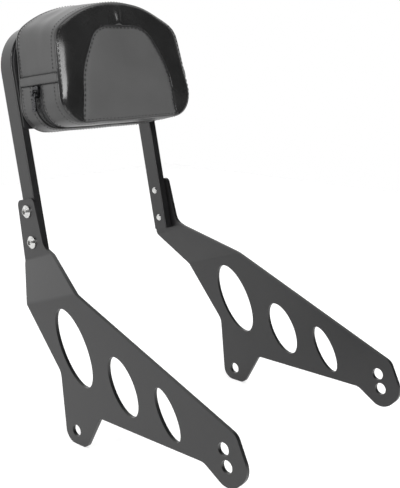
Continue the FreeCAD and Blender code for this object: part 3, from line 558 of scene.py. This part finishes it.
def tape_weave_and_seam_shade():
    """Black tape with a fine rib, also laid on the foam as painted shade at the bottoms of the seams."""
    material, tree, surface = new_material("black_tape_and_seam_shade")
    place = tree.nodes.new("ShaderNodeTexCoord")
    weave = shader(tree, "ShaderNodeTexWave", Scale=520.0, Distortion=1.5, Detail=1.0)
    tree.links.new(place.outputs["Object"], weave.inputs["Vector"])
    colour = ramp(tree, weave.outputs["Fac"], (0.012, 0.012, 0.013), (0.035, 0.035, 0.036))
    tree.links.new(colour, surface.inputs["Base Color"])
    surface.inputs["Roughness"].default_value = 0.85
    bump(tree, surface, weave.outputs["Fac"], 0.4, 0.0003)
    return material


satin = leather(
    "satin_gusset_leather", dark=0.03, light=0.042, smooth=0.36, rough=0.46, pores=900.0, strength=0.12,
)
gloss = leather(
    "gloss_rim_leather", dark=0.012, light=0.02, smooth=0.17, rough=0.27, pores=900.0, strength=0.07,
)
matte = leather(
    "matte_insert_leather", dark=0.058, light=0.07, smooth=0.66, rough=0.76, pores=1100.0, strength=0.25,
)
tape_cloth = tape_weave_and_seam_shade()
PANELS = {
    RIM: ("cover_rim_sewn", gloss, "rim_leather", "cover_rim_panel"),
    INSERT: ("cover_insert_sewn", matte, "insert_leather", "cover_insert_panel"),
    TOP: ("cover_top_gusset_sewn", satin, "gusset_leather", "cover_top_gusset"),
    BAND: ("zip_end_bands_sewn", satin, "gusset_leather", "zip_end_bands"),
    LOWER_FRONT: (
        "cover_lower_gusset_front_sewn", satin, "gusset_leather", "cover_lower_gusset_front"),
    TAPE: ("zipper_tape_sewn", tape_cloth, "zipper_cloth", "zipper_tape"),
    LOWER_REAR: ("cover_lower_gusset_rear_sewn", satin, "gusset_leather", "cover_lower_gusset_rear"),
    BACK: ("cover_back_sewn", satin, "gusset_leather", "cover_back_panel"),
}
LEATHER_THICKNESS = 0.0013
# how far each panel's edge is drawn in by its seams, and how far the whole panel lies off the others
HEM, FRONT_SEAM_HEM = 0.0006, 0.0015
HEMS = {RIM: 0.0001, INSERT: 0.0012, BACK: 0.0, BAND: 0.0004}
STANDS_OFF = {TAPE: -0.0016, BAND: 0.0009}


def hem_at(vert, which):
    """How far a panel's edge is drawn in at a vertex, deepest along the front seam."""
    hem = HEMS.get(which, HEM) if vert.is_boundary else 0.0
    in_front = vert.co.y < -FRONT_SEAM + 0.001 and seam_gap(vert.co.x, vert.co.z) < 0.002
    return FRONT_SEAM_HEM if hem and in_front else hem


def pad_piece(bm, name, material, smooth):
    """A new object from a mesh in the pad's own axes, set in its place on the leaning hoop."""
    for face in bm.faces:
        face.smooth = smooth
    bmesh.ops.transform(bm, matrix=PAD_PLACE, verts=bm.verts)
    mesh = bpy.data.meshes.new(name)
    bm.to_mesh(mesh)
    bm.free()
    mesh.materials.append(material)
    piece = bpy.data.objects.new(name, mesh)
    bpy.context.scene.collection.objects.link(piece)
    return piece


for which, (name, material, slot, replaced) in PANELS.items():
    panel_bm = cover_bm.copy()
    layer = panel_bm.faces.layers.int["panel"]
    others = [face for face in panel_bm.faces if face[layer] != which]
    bmesh.ops.delete(panel_bm, geom=others, context="FACES")
    for vert in panel_bm.verts:
        vert.co += vert.normal * (STANDS_OFF.get(which, 0.0) - hem_at(vert, which))
    panel_piece = pad_piece(panel_bm, name, material, smooth=True)
    wall = panel_piece.modifiers.new("leather", "SOLIDIFY")
    wall.thickness = LEATHER_THICKNESS
    wall.offset = -1.0
    wall.use_even_offset = which != BACK
    soft_edges = panel_piece.modifiers.new("soft", "SUBSURF")
    soft_edges.levels = soft_edges.render_levels = 2
    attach(panel_piece, "backrest")
    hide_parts(replaced)

# Foam: one moulded block that fills the cover up to the leather's inner side. Its black weave is
# painted shade, which shows only at the bottom of the seams, and it lies deeper behind the zipper.
UNDER_LEATHER, UNDER_TAPE = 0.00138, 0.0036
foam_bm = cover_bm.copy()
foam_layer = foam_bm.faces.layers.int["panel"]
for vert in foam_bm.verts:
    vert.co -= vert.normal * (UNDER_TAPE if TAPE in panels_at(vert, foam_layer) else UNDER_LEATHER)
# the black weave on the foam is painted shade where it shows at the bottom of the seams
foam_block = pad_piece(foam_bm, "foam_block", tape_weave_and_seam_shade(), smooth=False)
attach(foam_block, "backrest")
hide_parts("pad_foam")

# Base board: plywood inside the back of the pad, which the tee nuts are pressed into from the foam's
# side. Its edge is pared back to sit inside the cover's folded hem.
BOARD_EDGE, BOARD_ARCH, PARED_WIDTH, PARED_HEIGHT = 0.013, 0.21, 0.98, 0.97


def plywood():
    material, tree, surface = new_material("bare_plywood")
    place = tree.nodes.new("ShaderNodeTexCoord")
    stretch = shader(tree, "ShaderNodeMapping", Scale=(12.0, 160.0, 160.0))
    grain = shader(tree, "ShaderNodeTexNoise", Scale=3.0, Detail=4.0)
    tree.links.new(place.outputs["Object"], stretch.inputs["Vector"])
    tree.links.new(stretch.outputs["Vector"], grain.inputs["Vector"])
    colour = ramp(tree, grain.outputs["Fac"], (0.36, 0.24, 0.13), (0.58, 0.43, 0.27))
    tree.links.new(colour, surface.inputs["Base Color"])
    surface.inputs["Roughness"].default_value = 0.75
    bump(tree, surface, grain.outputs["Fac"], 0.2, 0.0004)
    return material


board_mesh = nodes["pad_base_board"].data.copy()
board_mesh.transform(PAD_PLACE.inverted())
for vert in board_mesh.vertices:
    if seam_gap(vert.co.x, vert.co.z) < BOARD_EDGE or vert.co.z > BOARD_ARCH:
        vert.co.x *= PARED_WIDTH
        vert.co.z = BACK_MIDDLE + (vert.co.z - BACK_MIDDLE) * PARED_HEIGHT
board_mesh.transform(PAD_PLACE)
board_mesh.materials.clear()
board_mesh.materials.append(plywood())
pared_board = bpy.data.objects.new("pared_board", board_mesh)
bpy.context.scene.collection.objects.link(pared_board)
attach(pared_board, "backrest")
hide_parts("pad_base_board")

# Thread: black thread in lock stitches. Stout rows hold the front seam and the insert, and finer rows
# lie along both edges of the gusset, across the bands' ends and on both sides of the zipper.


def thread():
    material, tree, surface = new_material("black_thread")
    place = tree.nodes.new("ShaderNodeTexCoord")
    twist = shader(tree, "ShaderNodeTexNoise", Scale=700.0, Detail=1.0)
    tree.links.new(place.outputs["Object"], twist.inputs["Vector"])
    colour = ramp(tree, twist.outputs["Fac"], (0.006,) * 3, (0.02,) * 3)
    tree.links.new(colour, surface.inputs["Base Color"])
    surface.inputs["Roughness"].default_value = 0.6
    bump(tree, surface, twist.outputs["Fac"], 0.3, 0.0002)
    return material


black_thread = thread()


def along(points, gap):
    """Places and directions at equal steps along a row of points."""
    steps = max(2, round(sum((b - a).length for a, b in zip(points, points[1:])) / gap))
    spots = even_points(points, steps) + [points[-1]]
    return [((a + b) / 2, (b - a).normalized()) for a, b in zip(spots, spots[1:])]


def lying(spot, way, size):
    """The place of a small shape of that size, which lies along a row."""
    turn = way.to_track_quat("Z", "Y").to_matrix().to_4x4()
    return Matrix.Translation(spot) @ turn @ Matrix.Diagonal((*size, 1))


def row_of_stitches(name, rows, length=0.0026, gap=0.0041, thick=0.00035):
    """Rows of stitches, each an elongated bead that lies along the seam."""
    bm = bmesh.new()
    for points in rows:
        for spot, way in along(points, gap):
            place = lying(spot, way, (thick, thick, length / 2))
            bmesh.ops.create_icosphere(bm, subdivisions=1, radius=1.0, matrix=place)
    piece = pad_piece(bm, name, black_thread, smooth=True)
    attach(piece, "backrest")


def on_ring(depth, first, last, lift=0.0002):
    """Points just above the leather along a ring of the gusset, from station to station."""
    ring = gusset_rings[RINGS.index(depth)]
    verts = [cover_bm.verts[ring[i % SEAM_COUNT]] for i in range(first, last + 1)]
    return [v.co + v.normal * lift for v in verts]


def across(station, lift=0.0007):
    """Points just above the leather across the gusset at one station, from front to back."""
    rings = gusset_rings[1:RINGS.index(REAR_ROW) + 1]
    verts = [cover_bm.verts[ring[station]] for ring in rings]
    return [v.co + v.normal * lift for v in verts]


cover_bm.verts.ensure_lookup_table()
leather_top = bvhtree.BVHTree.FromBMesh(cover_bm)


def beside(path, shift, sink, closed):
    """Points in the front panels that keep a distance from a row of points, to its left."""
    count = len(path)
    moved = []
    for i, point in enumerate(path):
        before = path[i - 1] if closed or i else point
        after = path[(i + 1) % count] if closed or i < count - 1 else point
        way = (after - before).normalized()
        target = point + Vector((-way.z * shift, -0.003, way.x * shift))
        spot, facing, _, _ = leather_top.find_nearest(target)
        moved.append(spot - facing * sink)
    return moved + moved[:1] if closed else moved


seam_line = [cover_bm.verts[i].co for i in gusset_rings[0]]
border_line = [cover_bm.verts[i].co for i in insert_border]
under_zip = (LEFT_SIDE, SEAM_COUNT + RIGHT_BAND)
front_row = beside(seam_line, shift=0.0028, sink=0.0006, closed=True)
insert_row = beside(border_line, shift=0.0014, sink=0.0003, closed=False)
row_of_stitches("front_seam_thread", [front_row], length=0.0038, gap=0.0052, thick=0.0007)
row_of_stitches("gusset_topstitch", [on_ring(GUSSET_ROW, 0, SEAM_COUNT)])
row_of_stitches("rear_seam_thread", [on_ring(REAR_ROW, 0, SEAM_COUNT)])
row_of_stitches("zip_topstitch", [on_ring(depth, *under_zip) for depth in (FRONT_ZIP_ROW, REAR_ZIP_ROW)])
row_of_stitches("band_topstitch", [across(s) for s in (RIGHT_BAND, RIGHT_TOP, LEFT_BAND, LEFT_SIDE)])
row_of_stitches("insert_thread", [insert_row], length=0.0036, gap=0.0054, thick=0.0008)

# Zipper: two rows of moulded black teeth that mesh along the middle of the tape, and a slider of
# cast metal in black nickel plate, whose pull hangs from its bail.
TOOTH, TOOTH_PITCH, TOOTH_STAGGER, TOOTH_SINK = (0.0011, 0.0028, 0.0009), 0.0014, 0.0007, 0.0012
teeth_bm = bmesh.new()
teeth_line = on_ring(ZIP_MIDDLE, LEFT_SIDE + 1, SEAM_COUNT + RIGHT_BAND - 1, lift=-TOOTH_SINK)
for i, (spot, way) in enumerate(along(teeth_line, TOOTH_PITCH)):
    side = Vector((0, TOOTH_STAGGER if i % 2 else -TOOTH_STAGGER, 0))
    bmesh.ops.create_cube(teeth_bm, size=1.0, matrix=lying(spot + side, way, TOOTH))
zipper_teeth = pad_piece(teeth_bm, "zipper_teeth", black_thread, smooth=False)
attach(zipper_teeth, "backrest")

black_nickel = metal_finish(
    "black_nickel_plate", scale=700.0, tone="Height",
    dark=(0.025, 0.025, 0.027), light=(0.07, 0.07, 0.073),
    smooth=0.22, rough=0.38, metallic=1.0, strength=0.15, distance=0.0002,
)
dress(("zipper_slider", "zipper_pull"), black_nickel)

# Camera: in front of the pad, on the right-hand plate's side and a little above it. Its place and
# angles were solved from the holes and ovals of the two plates.
PICTURE_HEIGHT, FOCAL_LENGTH = 488.0, 908.618
AZIMUTH, ELEVATION = math.radians(-47.0347), math.radians(12.7495)
camera = bpy.data.objects.new("camera", bpy.data.cameras.new("camera"))
bpy.context.scene.collection.objects.link(camera)
towards_camera = Vector((
    math.sin(AZIMUTH) * math.cos(ELEVATION),
    -math.cos(AZIMUTH) * math.cos(ELEVATION),
    math.sin(ELEVATION),
))
camera.location = (-0.68912, -0.69901, 0.40108)
camera.rotation_mode = "QUATERNION"
camera.rotation_quaternion = (-towards_camera).to_track_quat("-Z", "Y")
camera.data.sensor_width = 36.0
camera.data.lens = FOCAL_LENGTH * camera.data.sensor_width / PICTURE_HEIGHT
bpy.context.scene.camera = camera

# Studio: white paper on the floor under three large soft lamps, in a room that is dark in front of the
# object and bright behind it. To the camera itself the room is plain white.


def lamp(name, place, aim, size, power):
    data = bpy.data.lights.new(name, "AREA")
    data.shape = "RECTANGLE"
    data.size, data.size_y = size
    data.energy = power
    piece = bpy.data.objects.new(name, data)
    bpy.context.scene.collection.objects.link(piece)
    piece.location = place
    piece.rotation_euler = (Vector(aim) - Vector(place)).to_track_quat("-Z", "Y").to_euler()


lamp("front_left_panel", (-0.75, -1.9, 1.15), (0, 0, 0.35), (1.7, 0.9), 52.0)
lamp("left_panel", (-1.9, 0.5, 0.8), (0, 0, 0.2), (1.4, 1.4), 12.0)
lamp("top_panel", (0.1, 0.2, 2.2), (0, 0, 0.1), (1.6, 1.6), 14.0)


def studio_room():
    world = bpy.data.worlds.new("studio_white")
    world.use_nodes = True
    tree = world.node_tree
    lit = tree.nodes["Background"]
    lit.inputs["Color"].default_value = (1, 1, 1, 1)
    way = tree.nodes.new("ShaderNodeTexCoord")
    parts = tree.nodes.new("ShaderNodeSeparateXYZ")
    fade = shader(tree, "ShaderNodeMapRange", From_Min=-0.2, From_Max=0.6, To_Min=0.03, To_Max=1.5)
    tree.links.new(way.outputs["Generated"], parts.inputs["Vector"])
    tree.links.new(parts.outputs["Y"], fade.inputs["Value"])
    tree.links.new(fade.outputs["Result"], lit.inputs["Strength"])
    seen = shader(tree, "ShaderNodeBackground", Color=(1, 1, 1, 1), Strength=1.0)
    path = tree.nodes.new("ShaderNodeLightPath")
    mix = tree.nodes.new("ShaderNodeMixShader")
    tree.links.new(path.outputs["Is Camera Ray"], mix.inputs["Fac"])
    tree.links.new(lit.outputs["Background"], mix.inputs[1])
    tree.links.new(seen.outputs["Background"], mix.inputs[2])
    tree.links.new(mix.outputs["Shader"], tree.nodes["World Output"].inputs["Surface"])
    return world


def floor_paper():
    """White paper that still takes a shadow, with a glow that the camera and glossy reflections see."""
    material, tree, surface = new_material("floor_paper")
    surface.inputs["Base Color"].default_value = (0.8, 0.8, 0.8, 1)
    surface.inputs["Roughness"].default_value = 0.9
    glow = shader(tree, "ShaderNodeEmission", Color=(1, 1, 1, 1))
    ray = tree.nodes.new("ShaderNodeLightPath")
    seen = tree.nodes.new("ShaderNodeMath")
    seen.operation = "MAXIMUM"
    tree.links.new(ray.outputs["Is Camera Ray"], seen.inputs[0])
    tree.links.new(ray.outputs["Is Glossy Ray"], seen.inputs[1])
    strength = tree.nodes.new("ShaderNodeMath")
    strength.operation = "MULTIPLY"
    strength.inputs[1].default_value = 0.34
    tree.links.new(seen.outputs["Value"], strength.inputs[0])
    tree.links.new(strength.outputs["Value"], glow.inputs["Strength"])
    both = tree.nodes.new("ShaderNodeAddShader")
    tree.links.new(surface.outputs["BSDF"], both.inputs[0])
    tree.links.new(glow.outputs["Emission"], both.inputs[1])
    tree.links.new(both.outputs["Shader"], tree.nodes["Material Output"].inputs["Surface"])
    return material


bpy.context.scene.world = studio_room()
floor_bm = bmesh.new()
bmesh.ops.create_grid(floor_bm, x_segments=2, y_segments=2, size=1.5)
bmesh.ops.translate(floor_bm, verts=floor_bm.verts, vec=(0, 0, cad_box[0].z - 0.0005))
floor_mesh = bpy.data.meshes.new("floor")
floor_bm.to_mesh(floor_mesh)
floor_bm.free()
floor_mesh.materials.append(floor_paper())
floor = bpy.data.objects.new("floor", floor_mesh)
bpy.context.scene.collection.objects.link(floor)
bpy.context.scene.view_settings.view_transform = "Standard"
